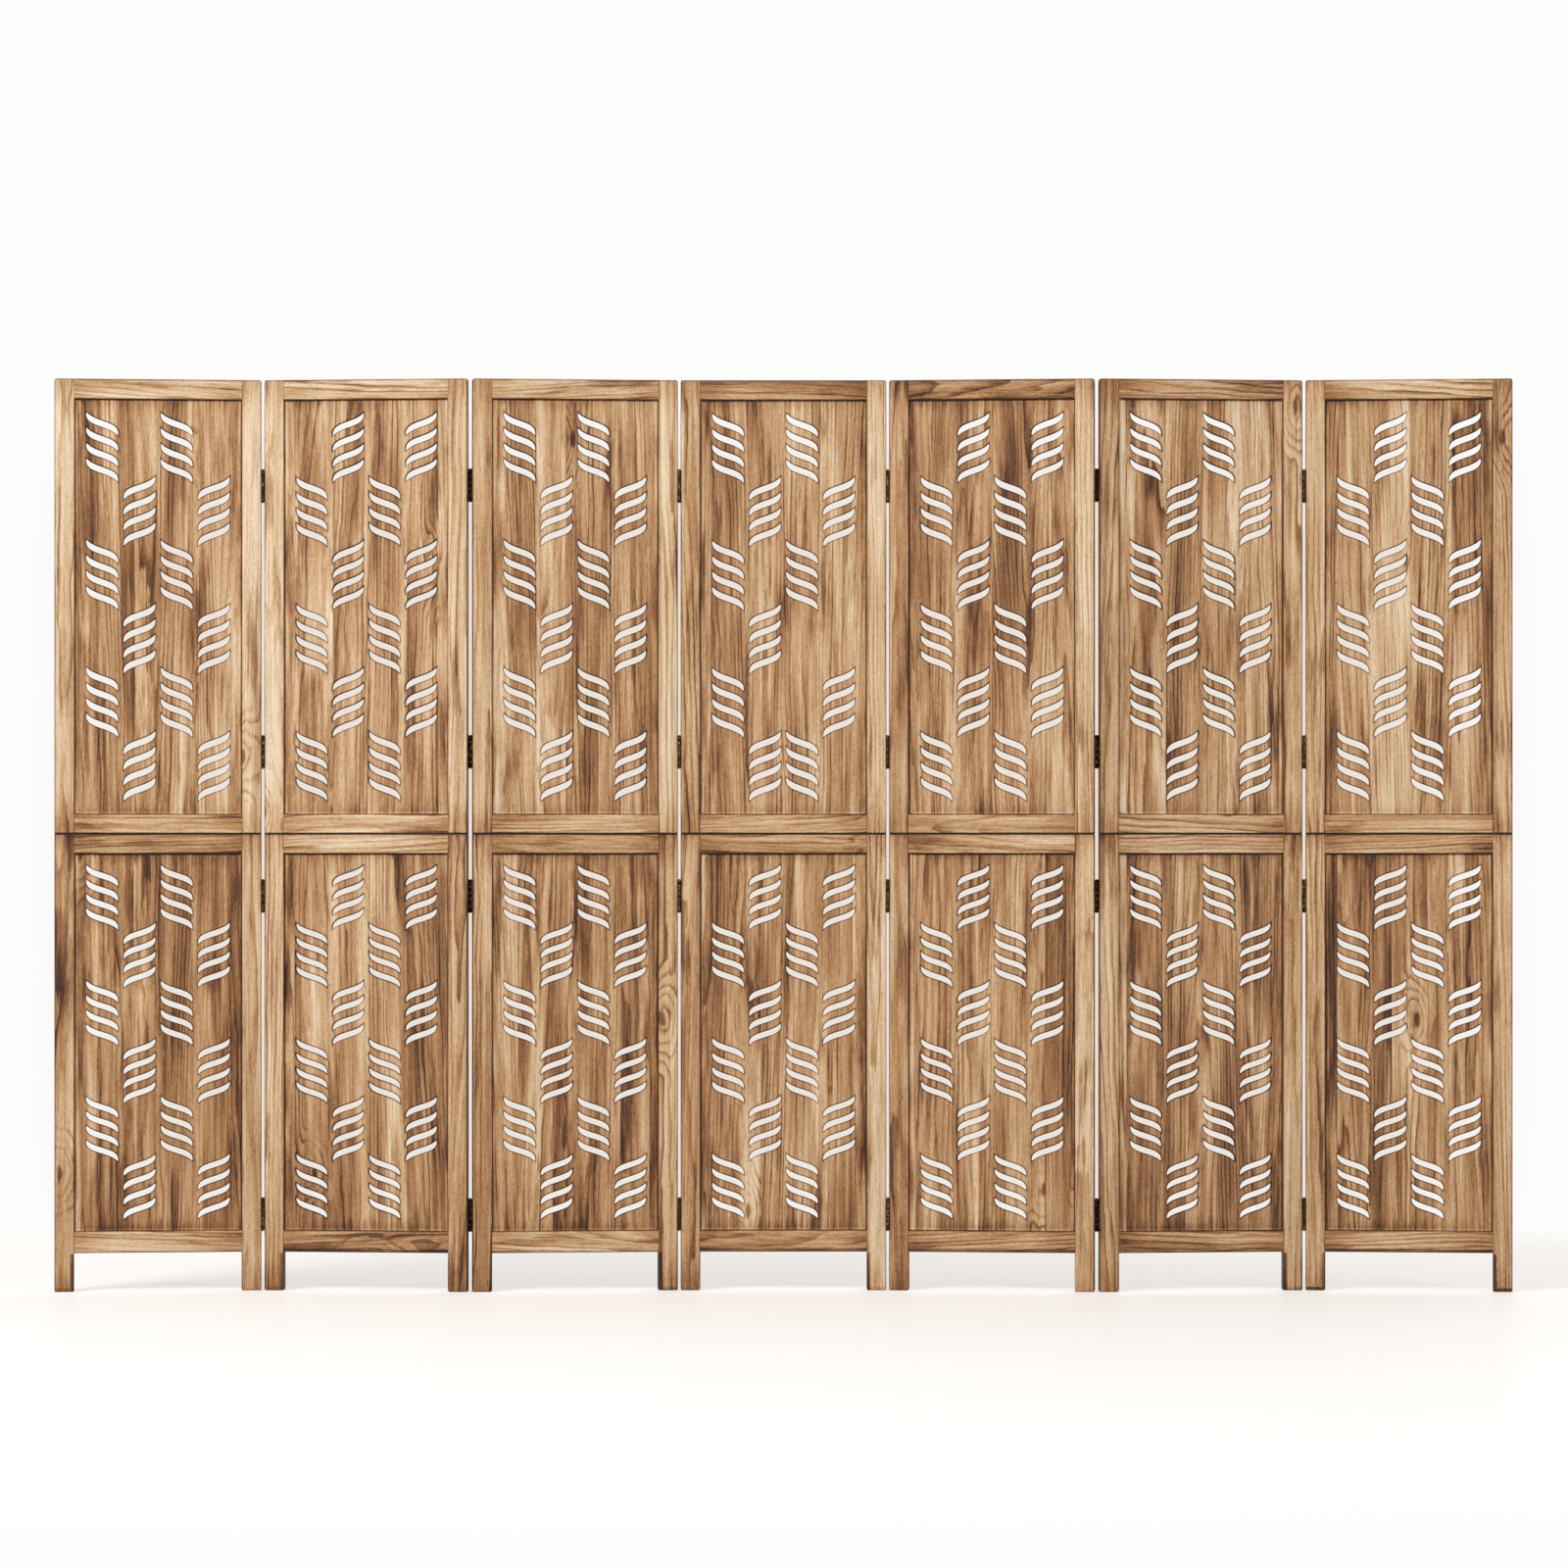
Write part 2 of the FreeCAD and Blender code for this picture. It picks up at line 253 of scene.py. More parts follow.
class Sheet:
    """A node tree to write on: a call adds nodes and gives back their output."""

    def __init__(self, tree):
        self.tree = tree

    def fill(self, sockets, values):
        """Leads an output to each named socket, or sets it to a plain value."""
        for name, value in values.items():
            if isinstance(value, bpy.types.NodeSocket):
                self.tree.links.new(value, sockets[name])
            else:
                sockets[name].default_value = value

    def outputs(self, kind, inputs, **settings):
        """Adds a node and gives back all its outputs."""
        made = self.tree.nodes.new(kind)
        for name, value in settings.items():
            setattr(made, name, value)
        self.fill(made.inputs, inputs)
        return made.outputs

    def node(self, kind, inputs, output=0, **settings):
        return self.outputs(kind, inputs, **settings)[output]

    def math(self, operation, first, *others, clamp=False):
        """One value from several, taken in turn."""
        for other in others or (0.0,):
            inputs = {0: first, 1: other}
            first = self.node("ShaderNodeMath", inputs, operation=operation, use_clamp=clamp)
        return first

    def add(self, value, marking, depth):
        """Adds a marking as deep as said, or takes it away."""
        return self.math("ADD", value, self.math("MULTIPLY", marking, depth))

    def mark(self, value, markings, **depths):
        """Adds markings of a group to a value, each by its name and depth."""
        for name, depth in depths.items():
            value = self.add(value, markings[name], depth)
        return value

    def swing(self, noise, amount, middle=0.5):
        """Noise turned into a push to either side."""
        return self.math("MULTIPLY", self.math("SUBTRACT", noise, middle), amount)

    def vector(self, operation, first, second):
        inputs = {0: first, "Scale" if operation == "SCALE" else 1: second}
        return self.node("ShaderNodeVectorMath", inputs, operation=operation)

    def length(self, vector):
        return self.node("ShaderNodeVectorMath", {0: vector}, "Value", operation="LENGTH")

    def split(self, vector):
        """The three parts of a vector."""
        return self.outputs("ShaderNodeSeparateXYZ", {0: vector})

    def noise(self, vector, per_metre, detail=2.0, roughness=0.5, output="Fac"):
        """Noise with so many swells a metre each way."""
        place = self.vector("MULTIPLY", vector, per_metre)
        inputs = {"Vector": place, "Scale": 1.0, "Detail": detail, "Roughness": roughness}
        return self.node("ShaderNodeTexNoise", inputs, output)

    def smooth(self, value, low, high, start=0.0, end=1.0):
        """A soft step from start to end as the value goes from low to high."""
        inputs = {
            "Value": value, "From Min": low, "From Max": high, "To Min": start, "To Max": end,
        }
        return self.node("ShaderNodeMapRange", inputs, interpolation_type="SMOOTHSTEP")

    def fade(self, value, low, high, start=1.0):
        """A soft step down to nought."""
        return self.smooth(value, low, high, start, 0.0)

    def mix(self, factor, first, second):
        inputs = {0: factor, 6: first, 7: second}
        return self.node("ShaderNodeMix", inputs, 2, data_type="RGBA")

    def ramp(self, value, stops):
        colour = self.node("ShaderNodeValToRGB", {"Fac": value}, "Color")
        band = colour.node.color_ramp
        while len(band.elements) < len(stops):
            band.elements.new(0.5)
        for element, (position, tint) in zip(band.elements, stops):
            element.position = position
            element.color = tint
        return colour

    def attribute(self, name, output="Vector"):
        return self.node("ShaderNodeAttribute", {}, output, attribute_name=name)

    def relief(self, height, strength, depth):
        """A bump that tilts the surface a little."""
        inputs = {"Height": height, "Strength": strength, "Distance": depth}
        return self.node("ShaderNodeBump", inputs, "Normal")

    def group(self, tree, inputs):
        return self.outputs("ShaderNodeGroup", inputs, node_tree=tree)

    def seen_by(self, *rays):
        """1 for the kinds of ray that are named, such as Camera, and 0 for the others."""
        path = self.outputs("ShaderNodeLightPath", {})
        return self.math("MAXIMUM", *(path[f"Is {ray} Ray"] for ray in rays))


VECTOR = "NodeSocketVector"
FLOAT = "NodeSocketFloat"


def open_group(name, inputs):
    """A new node group with named inputs: its sheet, and what it is given."""
    tree = bpy.data.node_groups.new(name, "ShaderNodeTree")
    for socket, kind in inputs.items():
        tree.interface.new_socket(socket, in_out="INPUT", socket_type=kind)
    return Sheet(tree), tree.nodes.new("NodeGroupInput").outputs


def close_group(sheet, **results):
    """Gives the group its outputs, which are all plain values."""
    for socket in results:
        sheet.tree.interface.new_socket(socket, in_out="OUTPUT", socket_type=FLOAT)
    sheet.fill(sheet.tree.nodes.new("NodeGroupOutput").inputs, results)
    return sheet.tree


def make_growth_rings():
    """Rings round the log's heart, which a flat sawn face cuts into lines and arches."""
    sheet, given = open_group("Growth rings", {
        "Grain": VECTOR, "Ring Width": FLOAT, "Wander": FLOAT, "Knot Swell": FLOAT,
    })
    slow = sheet.noise(given["Grain"], RING_DRIFT, 3.0, 0.5, "Color")
    centred = sheet.vector("SUBTRACT", slow, (0.5, 0.5, 0.5))
    drift = sheet.vector("SCALE", centred, given["Wander"])
    place = sheet.vector("ADD", given["Grain"], drift)
    radius = sheet.length(sheet.vector("MULTIPLY", place, (1, 1, 0)))
    count = sheet.math("DIVIDE", radius, given["Ring Width"])
    count = sheet.add(count, sheet.noise(place, RING_BENDS), RING_UNEVENNESS)
    count = sheet.math("ADD", count, given["Knot Swell"])
    growth = sheet.math("FRACT", count)
    rise = sheet.math("POWER", sheet.smooth(growth, *LATE_WOOD), RING_SHARPNESS)
    fall = sheet.fade(growth, *RING_END)
    year = {"W": sheet.math("FLOOR", count)}
    strength = sheet.node("ShaderNodeTexWhiteNoise", year, noise_dimensions="1D")
    strength = sheet.smooth(strength, 0.0, 1.0, FAINTEST_RING, 1.0)
    worn = sheet.smooth(sheet.noise(place, RING_WEAR), 0.32, 0.66, 0.25, 1.0)
    band = sheet.noise(place, BANDS, 3.0)
    return close_group(
        sheet, Line=sheet.math("MULTIPLY", rise, fall, strength, worn),
        Band=sheet.math("SUBTRACT", band, 0.5),
    )


def make_knots():
    """A small dark knot here and there, and how far the rings swell to pass round it."""
    sheet, given = open_group("Knots", {"Grain": VECTOR})
    bent = sheet.noise(given["Grain"], KNOT_BENDS, 2.0, 0.5, "Color")
    place = sheet.vector("ADD", given["Grain"], sheet.vector("SCALE", bent, 0.010))
    across, _, along = sheet.split(place)
    across = sheet.math("MULTIPLY", across, KNOT_PLACES[0])
    along = sheet.math("MULTIPLY", along, KNOT_PLACES[1])
    flat = sheet.node("ShaderNodeCombineXYZ", {0: across, 1: along})
    inputs = {"Vector": flat, "Scale": 1.0}
    cells = sheet.outputs("ShaderNodeTexVoronoi", inputs, voronoi_dimensions="2D")
    here = sheet.math("GREATER_THAN", sheet.split(cells["Color"])[0], NO_KNOT)
    core = sheet.fade(cells["Distance"], *KNOT_CORE)
    swell = sheet.fade(cells["Distance"], 0.0, KNOT_REACH, KNOT_SWELL)
    return close_group(
        sheet, Core=sheet.math("MULTIPLY", core, here), Swell=sheet.math("MULTIPLY", swell, here)
    )


def make_fibre():
    """Fine streaks, short dark pores and flecks that run with the grain."""
    sheet, given = open_group("Wood fibre", {"Grain": VECTOR})
    streak = sheet.noise(given["Grain"], STREAKS, 4.0, 0.66)
    pore = sheet.noise(given["Grain"], PORES, 1.0)
    fleck = sheet.noise(given["Grain"], FLECKS, 2.0, 0.6)
    return close_group(
        sheet, Streak=sheet.math("SUBTRACT", streak, 0.5), Pore=sheet.smooth(pore, 0.58, 0.66),
        Fleck=sheet.math("SUBTRACT", fleck, 0.5),
    )


def make_torching():
    """Clouds of light and heavy torching, and smoky patches where the flame lingered."""
    sheet, given = open_group("Torching", {"Grain": VECTOR})
    wide = sheet.noise(given["Grain"], WIDE_CLOUDS, 3.0, 0.55)
    narrow = sheet.noise(given["Grain"], NARROW_CLOUDS, 3.0, 0.6)
    patch = sheet.noise(given["Grain"], SMOKE_PATCHES, 4.0, 0.62)
    lick = sheet.noise(given["Grain"], FLAME_LICKS, 3.0, 0.6)
    return close_group(
        sheet, Cloud=sheet.math("SUBTRACT", sheet.add(wide, narrow, 0.6), 0.80),
        Smoke=sheet.smooth(sheet.add(patch, lick, 0.45), 0.76, 0.98),
    )


def make_border():
    """The rim of a board: a dark line of char and painted shadow, a pale strip of unburnt wood
    and painted highlight, and a soft shade, partly painted shade and partly torching.

    Reach holds a point's place across the board, and its distances from foot and head.
    """
    sheet, given = open_group("Board border", {
        "Reach": VECTOR, "Grain": VECTOR, "Half Opening": FLOAT,
    })
    across, foot, head = sheet.split(given["Reach"])
    beside = sheet.math("SUBTRACT", given["Half Opening"], sheet.math("ABSOLUTE", across))
    # the dark line: char, with painted shadow cast by the frame onto the recessed board, deepest
    # under the head
    line = sheet.math(
        "MAXIMUM", sheet.fade(beside, *SIDE_LINE), sheet.fade(head, *HEAD_LINE),
        sheet.fade(foot, *FOOT_LINE, 0.8),
    )
    # the strip along the sides: wood that the flame missed, with painted highlight
    unburnt_and_lit = sheet.smooth(sheet.noise(given["Reach"], (7, 4, 4)), 0.42, 0.60)
    pale = sheet.math("MULTIPLY", sheet.fade(beside, *SIDE_STRIP), unburnt_and_lit)
    # along the foot the pale strip is a painted highlight where light catches the edge
    pale = sheet.math("MAXIMUM", pale, sheet.fade(foot, *FOOT_STRIP))
    # the soft shade: painted shade in the recess round the board, mixed with torching near the
    # frame
    ragged = sheet.swing(sheet.noise(given["Grain"], RAGGED_SHADE, 3.0), 0.06, 0.40)
    nearest = sheet.math("MINIMUM", foot, head, beside)
    shade = sheet.fade(sheet.math("ADD", nearest, ragged), 0.0, BORDER_SHADE)
    torching_and_painted_shade = sheet.smooth(sheet.noise(given["Reach"], (5, 5, 5)), 0.40, 0.66, 0.30, 1.6)
    shade = sheet.math("MULTIPLY", shade, torching_and_painted_shade)
    return close_group(sheet, Line=line, Pale=pale, Shade=shade)


def make_scorched_and_shaded_edges():
    """Burnt bands on a member: along its lower edge, and up the two sides of a leg.

    Arris is the dark line round a member's outline, Joint the black line and soft shade where
    the two tiers meet, painted shadow in and below their crease, and Ends the brown toward a
    member's two ends.
    """
    sheet, given = open_group("Scorched and shaded edges", {
        "Edges": VECTOR, "Head": FLOAT, "From Joint": FLOAT, "Scorched": VECTOR,
        "Grain": VECTOR, "Leg": FLOAT, "Ends": VECTOR,
    })
    away = sheet.split(given["Edges"])
    strength = sheet.split(given["Scorched"])
    ragged = sheet.swing(sheet.noise(given["Grain"], RAGGED_CHAR), 0.004)
    bands = []
    for distance, amount in zip(away, strength):
        width = sheet.math("ADD", distance, ragged)
        bands.append(sheet.math("MULTIPLY", sheet.fade(width, *CHAR_BAND), amount))
    on_leg = sheet.fade(sheet.math("SUBTRACT", away[0], given["Leg"]), -0.004, 0.0)
    sides = [sheet.math("MULTIPLY", band, on_leg) for band in bands[1:]]
    nearest = sheet.math("MINIMUM", given["Head"], *away)
    arris = sheet.fade(sheet.add(nearest, ragged, 0.5), *ARRIS_LINE)
    # the joint: a black line in the crease between the tiers and a soft band below it, both
    # painted shadow
    joint = sheet.add(given["From Joint"], ragged, 0.2)
    below_joint = sheet.math("LESS_THAN", sheet.math("SUBTRACT", given["Head"], 0.005), joint)
    soft = sheet.math("MULTIPLY", sheet.fade(joint, 0.0, JOINT_SHADE, 0.20), below_joint)
    start, finish, _ = sheet.split(given["Ends"])
    licked = sheet.swing(sheet.noise(given["Grain"], BROWN_LICKS, 3.0, 0.6), 0.16)
    brown = sheet.math("ADD", sheet.math("MINIMUM", start, finish), licked)
    return close_group(
        sheet, Char=sheet.math("MAXIMUM", bands[0], *sides), Arris=arris,
        Joint=sheet.math("MAXIMUM", sheet.fade(joint, *JOINT_LINE, 0.85), soft),
        Ends=sheet.fade(brown, 0.0, END_SHADE),
    )


rings_group = make_growth_rings()
knots_group = make_knots()
fibre_group = make_fibre()
torching_group = make_torching()
border_group = make_border()
scorched_and_shaded_group = make_scorched_and_shaded_edges()


def new_material(name):
    """A material, its sheet and its shader."""
    made = bpy.data.materials.new(name)
    made.use_nodes = True
    return made, Sheet(made.node_tree), made.node_tree.nodes["Principled BSDF"]


def make_wood(name, ring_width, lines, bands, clouds, streaks, char=0.0, part="frame"):
    """Torched wood. The depths say how strongly each marking shows; char darkens it all."""
    material, sheet, shader = new_material(name)
    grain = sheet.attribute("grain")
    knots = sheet.group(knots_group, {"Grain": grain})
    rings = sheet.group(rings_group, {
        "Grain": grain, "Ring Width": ring_width, "Wander": RING_WANDER,
        "Knot Swell": knots["Swell"],
    })
    fibre = sheet.group(fibre_group, {"Grain": grain})
    torching = sheet.group(torching_group, {"Grain": grain})
    tone = sheet.mark(sheet.attribute("tone", "Fac"), rings, Band=bands, Line=-lines)
    tone = sheet.mark(tone, torching, Cloud=clouds)
    tone = sheet.mark(tone, fibre, Streak=streaks, Fleck=0.34, Pore=-0.13)
    tone = sheet.mark(tone, knots, Core=-0.42)
    tone = sheet.mark(tone, torching, Smoke=-0.30)
    if part == "board":
        border = sheet.group(border_group, {
            "Reach": sheet.attribute("reach"), "Grain": grain, "Half Opening": INNER,
        })
        # round the board: a dark line of char and painted shadow, a pale strip of unburnt wood
        # and painted highlight, and painted shade with torching
        tone = sheet.mark(tone, border, Shade=-0.17, Pale=0.20, Line=-0.56)
        # the slot rims: char, darker along their upper edges with painted shade
        rim = sheet.mark(sheet.attribute("rim", "Fac"), fibre, Fleck=0.35)
        tone = sheet.add(tone, sheet.smooth(rim, 0.0, 0.85), -0.60)
    else:
        scorched = sheet.group(scorched_and_shaded_group, {
            "Edges": sheet.attribute("edges"), "Head": sheet.attribute("head", "Fac"),
            "From Joint": sheet.attribute("from_joint", "Fac"),
            "Scorched": sheet.attribute("scorched"), "Grain": grain, "Leg": LEG,
            "Ends": sheet.attribute("ends"),
        })
        # on the frame: burnt bands, dark arrises and brown ends, and at the tier joint painted
        # shadow in and below the crease
        tone = sheet.mark(tone, scorched, Ends=-0.16, Char=-0.42, Arris=-0.20, Joint=-0.62)
    tone = sheet.math("SUBTRACT", tone, char)
    smoke = sheet.math("MULTIPLY", torching["Smoke"], SMOKE_SHARE, clamp=True)
    height = sheet.mark(rings["Line"], fibre, Streak=1.2, Pore=-0.5)
    sheet.fill(shader.inputs, {
        "Base Color": sheet.mix(smoke, sheet.ramp(tone, WOOD_TONES), SMOKE),
        "Roughness": sheet.smooth(rings["Line"], 0.0, 1.0, *WOOD_ROUGHNESS),
        "Specular IOR Level": WOOD_GLEAM,
        "Normal": sheet.relief(height, strength=0.3, depth=0.0004),
    })
    return material


frame_wood = make_wood(
    "torched_frame_wood", ring_width=0.0080, lines=0.46, bands=0.50, clouds=0.55, streaks=0.66
)
board_wood = make_wood(
    "torched_board_wood", ring_width=0.0068, lines=0.42, bands=0.45, clouds=1.05, streaks=0.50,
    part="board",
)
charred_arris = make_wood(
    "charred_arris", ring_width=0.0080, lines=0.15, bands=0.20, clouds=0.40, streaks=0.30,
    char=0.40,
)
# the tier joint's crease: char with painted shadow, near black
charred_and_shaded_joint = make_wood(
    "charred_and_shaded_joint", ring_width=0.0080, lines=0.10, bands=0.10, clouds=0.20, streaks=0.20,
    char=0.70,
)

# places of the charred arris wood, and of the joint wood, charred with painted shadow, among a
# member's materials
ARRIS_SLOT = 1
JOINT_SLOT = 2


def make_metal(name, colour, wear_and_glint_colour, roughness):
    """Bronze or screw metal with a fine tumbled unevenness, and pale spots that are partly wear
    and partly painted glints.
    """
    material, sheet, shader = new_material(name)
    place = sheet.node("ShaderNodeTexCoord", {}, "Object")
    uneven = sheet.noise(place, (900, 900, 900), 3.0, 0.6)
    # pale spots: worn metal, and also painted glints
    worn = sheet.smooth(sheet.noise(place, (260, 260, 260)), 0.52, 0.70)
    sheet.fill(shader.inputs, {
        "Base Color": sheet.mix(worn, colour, wear_and_glint_colour),
        "Metallic": 1.0,
        "Roughness": sheet.smooth(uneven, 0.3, 0.7, roughness - 0.08, roughness + 0.10),
        "Normal": sheet.relief(uneven, strength=0.25, depth=0.0001),
    })
    return material


hinge_bronze = make_metal("hinge_bronze", linear(46, 34, 26), linear(150, 112, 78), 0.40)
screw_metal = make_metal("screw_metal", linear(120, 98, 72), linear(190, 160, 120), 0.35)

# Modelling by hand


def active():
    return bpy.context.view_layer.objects.active


def deselect():
    bpy.ops.object.select_all(action="DESELECT")


def add_to_scene(name, data):
    made = bpy.data.objects.new(name, data)
    bpy.context.scene.collection.objects.link(made)
    return made


def only(*pieces):
    """Selects these pieces and nothing else."""
    deselect()
    for piece in pieces:
        piece.select_set(True)
    bpy.context.view_layer.objects.active = pieces[0]


def join(pieces):
    only(*pieces)
    bpy.ops.object.join()
    return active()


def start_edit():
    bpy.ops.object.mode_set(mode="EDIT")


def finish_edit():
    bpy.ops.object.mode_set(mode="OBJECT")


def pick_none(piece, kind):
    only(piece)
    start_edit()
    bpy.ops.mesh.select_mode(type=kind)
    bpy.ops.mesh.select_all(action="DESELECT")
    finish_edit()


def pick_all(piece):
    only(piece)
    start_edit()
    bpy.ops.mesh.select_all(action="SELECT")


def pick_edges(piece, chosen):
    """Opens the piece with the edges selected whose two ends are chosen."""
    pick_none(piece, "EDGE")
    corners = piece.data.vertices
    for edge in piece.data.edges:
        first, last = (corners[index].co for index in edge.vertices)
        edge.select = chosen(first, last)
    start_edit()


def pick_faces(piece, chosen):
    """Opens the piece with the faces selected by their middle and normal."""
    pick_none(piece, "FACE")
    for face in piece.data.polygons:
        face.select = chosen(face.center, face.normal)
    start_edit()


def cut_along(piece, place, normal):
    """Cuts a piece's faces along a plane and leaves them joined."""
    pick_all(piece)
    bpy.ops.mesh.bisect(plane_co=place, plane_no=normal)
    finish_edit()


def ease(piece, width, steps, chosen, material=-1):
    """Rounds over the chosen edges; the new faces can take a material slot of their own."""
    pick_edges(piece, chosen)
    bpy.ops.mesh.bevel(
        offset=width, segments=steps, affect="EDGES", clamp_overlap=True, material=material
    )
    finish_edit()


def apply_place():
    """Takes the new piece's place, turn and size into its mesh."""
    bpy.ops.object.transform_apply(location=True, rotation=True, scale=True)
    return active()


def block(size, middle, turn=0):
    """A squared block, turned about z."""
    deselect()
    bpy.ops.mesh.primitive_cube_add(size=1, location=middle)
    active().scale = size
    active().rotation_euler.z = math.radians(turn)
    return apply_place()


def cylinder(radius, depth, middle):
    deselect()
    bpy.ops.mesh.primitive_cylinder_add(
        vertices=ROUND_SIDES, radius=radius, depth=depth, location=middle
    )
    return apply_place()


def close(first, second):
    return abs(first - second) < NEAR


def on_face(first, last):
    """Both ends lie on the front, or both on the back."""
    return close(abs(first.y), HALF_FRAME) and close(first.y, last.y)


def across_edge(first, last):
    """An edge that runs from the front to the back."""
    spans = close(abs(first.y), HALF_FRAME) and close(first.y, -last.y)
    return spans and close(first.x, last.x) and close(first.z, last.z)


def beside_opening(first, last):
    """An edge of a left stile that runs along the board."""
    return close(first.x, -INNER) and close(last.x, -INNER)


def bar(name, left, right, foot, head):
    """A squared length of wood, as thick as the frame."""
    low, high = Vector((left, -HALF_FRAME, foot)), Vector((right, HALF_FRAME, head))
    piece = block(high - low, (low + high) / 2)
    piece.name = name
    for material in (frame_wood, charred_arris, charred_and_shaded_joint):
        piece.data.materials.append(material)
    return piece


def blacken_joint(piece):
    """The arrises at the tier joint take the near-black joint wood, char with painted shadow in
    the crease.
    """
    for face in piece.data.polygons:
        if face.material_index == ARRIS_SLOT and abs(face.center.z - TIER) < OUTER_ARRIS:
            face.material_index = JOINT_SLOT


def make_stile(name, foot, head, foot_round, head_round):
    """A left stile: first its corners are rounded, then its outline, then its inner edge."""
    piece = bar(name, -OUTER, -INNER, foot, head)

    def at_foot(first, last):
        return close(first.z, foot) and across_edge(first, last)

    def at_outer_head(first, last):
        return close(first.z, head) and across_edge(first, last) and close(first.x, -OUTER)

    def outline(first, last):
        return on_face(first, last) and not beside_opening(first, last)

    def inner_line(first, last):
        return on_face(first, last) and beside_opening(first, last)

    ease(piece, foot_round, CORNER_STEPS, at_foot)
    ease(piece, head_round, CORNER_STEPS, at_outer_head)
    ease(piece, OUTER_ARRIS, ARRIS_STEPS, outline, ARRIS_SLOT)
    ease(piece, INNER_ARRIS, ARRIS_STEPS, inner_line, ARRIS_SLOT)
    blacken_joint(piece)
    return piece


def make_rail(name, foot, head, outer_level):
    """A rail whose outer edges are rounded well, and those beside the board less."""
    piece = bar(name, -INNER, INNER, foot, head)

    def at_outer(first, last):
        return on_face(first, last) and close(first.z, outer_level) and close(last.z, first.z)

    def beside_board(first, last):
        level = close(first.z, last.z) and not close(first.z, outer_level)
        return on_face(first, last) and level

    ease(piece, OUTER_ARRIS, ARRIS_STEPS, at_outer, ARRIS_SLOT)
    ease(piece, INNER_ARRIS, ARRIS_STEPS, beside_board, ARRIS_SLOT)
    blacken_joint(piece)
    return piece


left_lower = make_stile("lower_stile", 0.0, TIER, FOOT_ROUND, OUTER_ARRIS)
left_upper = make_stile("upper_stile", TIER, TOP, OUTER_ARRIS, CORNER_ROUND)
base_rail = make_rail("base_rail", LEG, LOWER_OPENING[0], LEG)
below_tier = make_rail("rail_below_tier_joint", LOWER_OPENING[1], TIER, TIER)
above_tier = make_rail("rail_above_tier_joint", TIER, UPPER_OPENING[0], TIER)
top_rail = make_rail("top_rail", UPPER_OPENING[1], TOP, TOP)

# Boards, drawn as flat outlines and given their thickness


def split_curve(points, share):
    """Cuts a curved length in two, which together keep its shape."""
    first, second, third, last = points
    leaving, between, meeting = (
        a.lerp(b, share) for a, b in ((first, second), (second, third), (third, last))
    )
    before, after = leaving.lerp(between, share), between.lerp(meeting, share)
    cut = before.lerp(after, share)
    return (first, leaving, before, cut), (cut, after, meeting, last)


def slot_spline(outline, tip, across, drop):
    """One slot between two pointed tips, with the S-shaped edge that both sides share."""
    def at(shares):
        return Vector((tip[0] + shares[0] * across, tip[1] - shares[1] * drop, 0))
    reach = TIP_REACH / drop
    edge = ((0, -reach), LEAVING_SHARES, MEETING_SHARES, (1, 1 + reach))
    lengths = []
    for side in (edge, [(1 - share[0], 1 - share[1]) for share in edge]):
        lengths += split_curve([at(shares) for shares in side], TIGHT_FROM)
    spline = outline.splines.new("BEZIER")
    spline.bezier_points.add(len(lengths) - 1)
    spline.use_cyclic_u = True
    spline.resolution_u = SLOT_STEPS
    for index, point in enumerate(spline.bezier_points):
        point.handle_left_type = "FREE"
        point.handle_right_type = "FREE"
        point.co, point.handle_right = lengths[index][:2]
        point.handle_left = lengths[index - 1][2]


def slot_places(opening, slots, groups):
    """The upper tip of each slot and how far it runs across, with its sign."""
    foot, top = opening
    column_pitch = (2 * INNER - 2 * SIDE_MARGIN - SLOT_WIDTH) / (COLUMNS - 1)
    group_height = (SLOTS_IN_GROUP - 1) * slots["pitch"] + slots["drop"]
    row_pitch = (top - foot - 2 * slots["margin"] - group_height) / (ROWS - 1)
    for row, column in groups:
        middle = (column - (COLUMNS + 1) / 2) * column_pitch
        hand = 1 if column % 2 else -1
        for step in range(SLOTS_IN_GROUP):
            height = top - slots["margin"] - (row - 1) * row_pitch - step * slots["pitch"]
            yield (middle - hand * SLOT_WIDTH / 2, height), hand * SLOT_WIDTH


def make_board(name, box, opening, slots, groups):
    """A board with its slots as holes; the outline's bevel makes the rims."""
    outline = bpy.data.curves.new(name, "CURVE")
    outline.dimensions = "2D"
    outline.fill_mode = "BOTH"
    outline.extrude = HALF_BOARD - RIM_WIDTH
    outline.bevel_depth = RIM_WIDTH
    outline.offset = -RIM_WIDTH
    outline.bevel_resolution = 0
    low, high = box
    border = outline.splines.new("POLY")
    border.points.add(3)
    border.use_cyclic_u = True
    corners = ((low.x, low.z), (high.x, low.z), (high.x, high.z), (low.x, high.z))
    for point, (x, z) in zip(border.points, corners):
        point.co = (x, z, 0, 1)
    for tip, across in slot_places(opening, slots, groups):
        slot_spline(outline, tip, across, slots["drop"])
    only(add_to_scene(name, outline))
    bpy.ops.object.convert(target="MESH")
    piece = active()
    piece.data.transform(Matrix.Rotation(math.radians(90), 4, "X"))
    piece.data.materials.clear()
    piece.data.materials.append(board_wood)
    pick_all(piece)
    bpy.ops.mesh.remove_doubles(threshold=0.00001)
    bpy.ops.mesh.normals_make_consistent(inside=False)
    finish_edit()
    pick_edges(piece, lambda first, last: max(abs(first.y), abs(last.y)) < HALF_BOARD - NEAR)
    widen = (HALF_BOARD - RIM_SINK) / (HALF_BOARD - RIM_WIDTH)
    bpy.ops.transform.resize(value=(1, widen, 1))
    finish_edit()
    return piece


